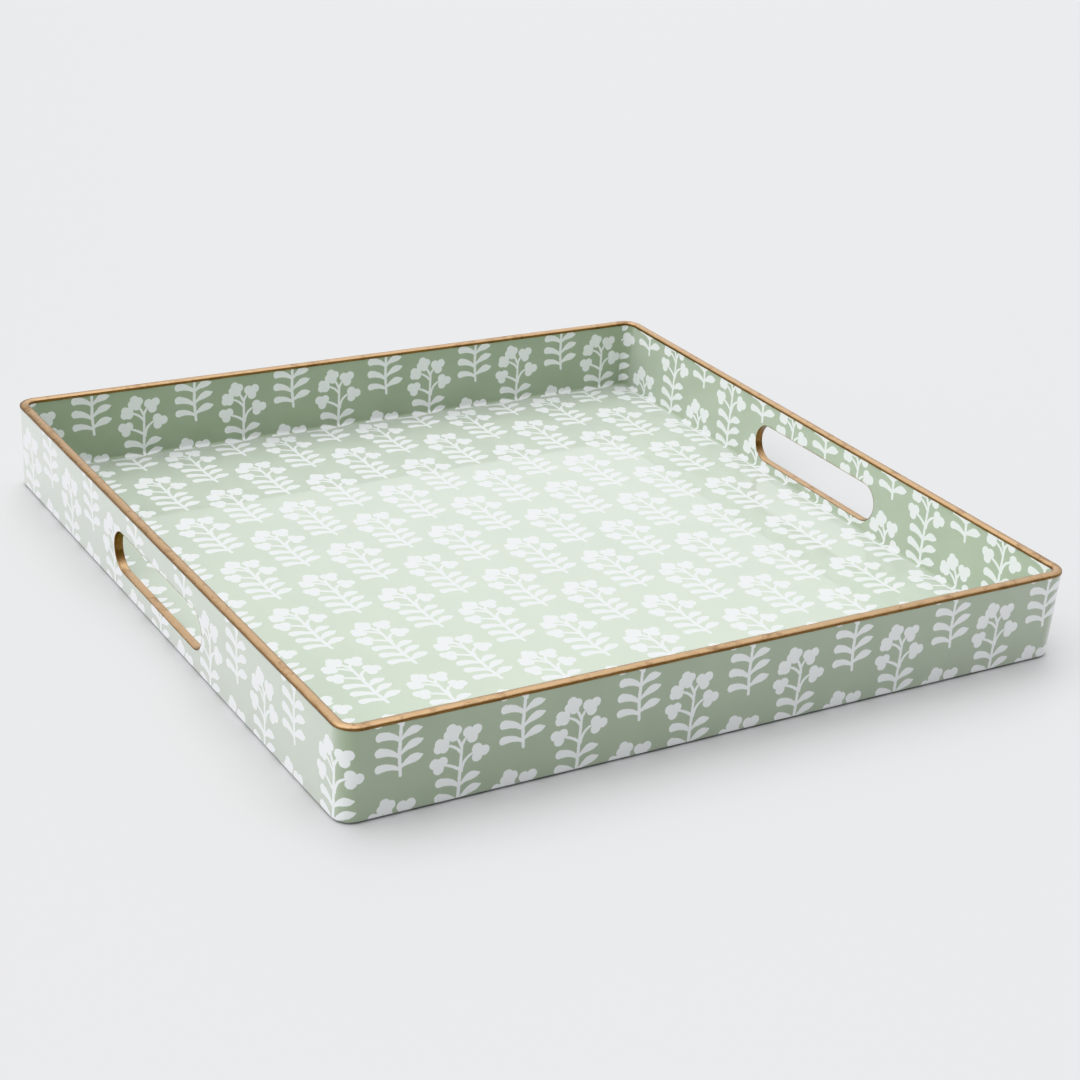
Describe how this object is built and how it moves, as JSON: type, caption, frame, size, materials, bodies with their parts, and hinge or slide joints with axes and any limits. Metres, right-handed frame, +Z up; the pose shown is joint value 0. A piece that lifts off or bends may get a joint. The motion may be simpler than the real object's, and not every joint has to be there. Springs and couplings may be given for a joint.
{
  "type": "serving tray",
  "caption": "Square serving tray with low walls, rounded corners, hand slots in opposite walls, a printed sprig pattern under gloss lacquer and a gilt rim.",
  "frame": {"origin": "middle of the surface that the tray stands on, under its feet", "axes": "+Z up, +X towards the right wall, through both hand slots, +Y towards the back wall"},
  "size_m": [0.4, 0.4, 0.0472],
  "materials": {
    "printed_paper": "sage green paper printed with white sprigs, under clear gloss lacquer",
    "plain_paper": "plain sage green paper, satin",
    "gilt": "antique gold paint, satin, browner where it is worn or thick",
    "fibreboard": "bare medium-density fibreboard, matte",
    "felt": "pressed felt"
  },
  "bodies": {
    "root": {"base_panel": "fibreboard", "side_right": "fibreboard", "side_back": "fibreboard", "side_left": "fibreboard", "side_front": "fibreboard", "corner_back_right": "fibreboard", "corner_back_left": "fibreboard", "corner_front_left": "fibreboard", "corner_front_right": "fibreboard", "print_floor": "printed_paper", "print_inner_right": "printed_paper", "print_inner_back": "printed_paper", "print_inner_left": "printed_paper", "print_inner_front": "printed_paper", "print_outer": "printed_paper", "gilt_rim": "gilt", "gilt_slot_right": "gilt", "gilt_slot_left": "gilt", "underside_sheet": "plain_paper", "foot_back_right": "felt", "foot_back_left": "felt", "foot_front_left": "felt", "foot_front_right": "felt"}
  },
  "joints": []
}
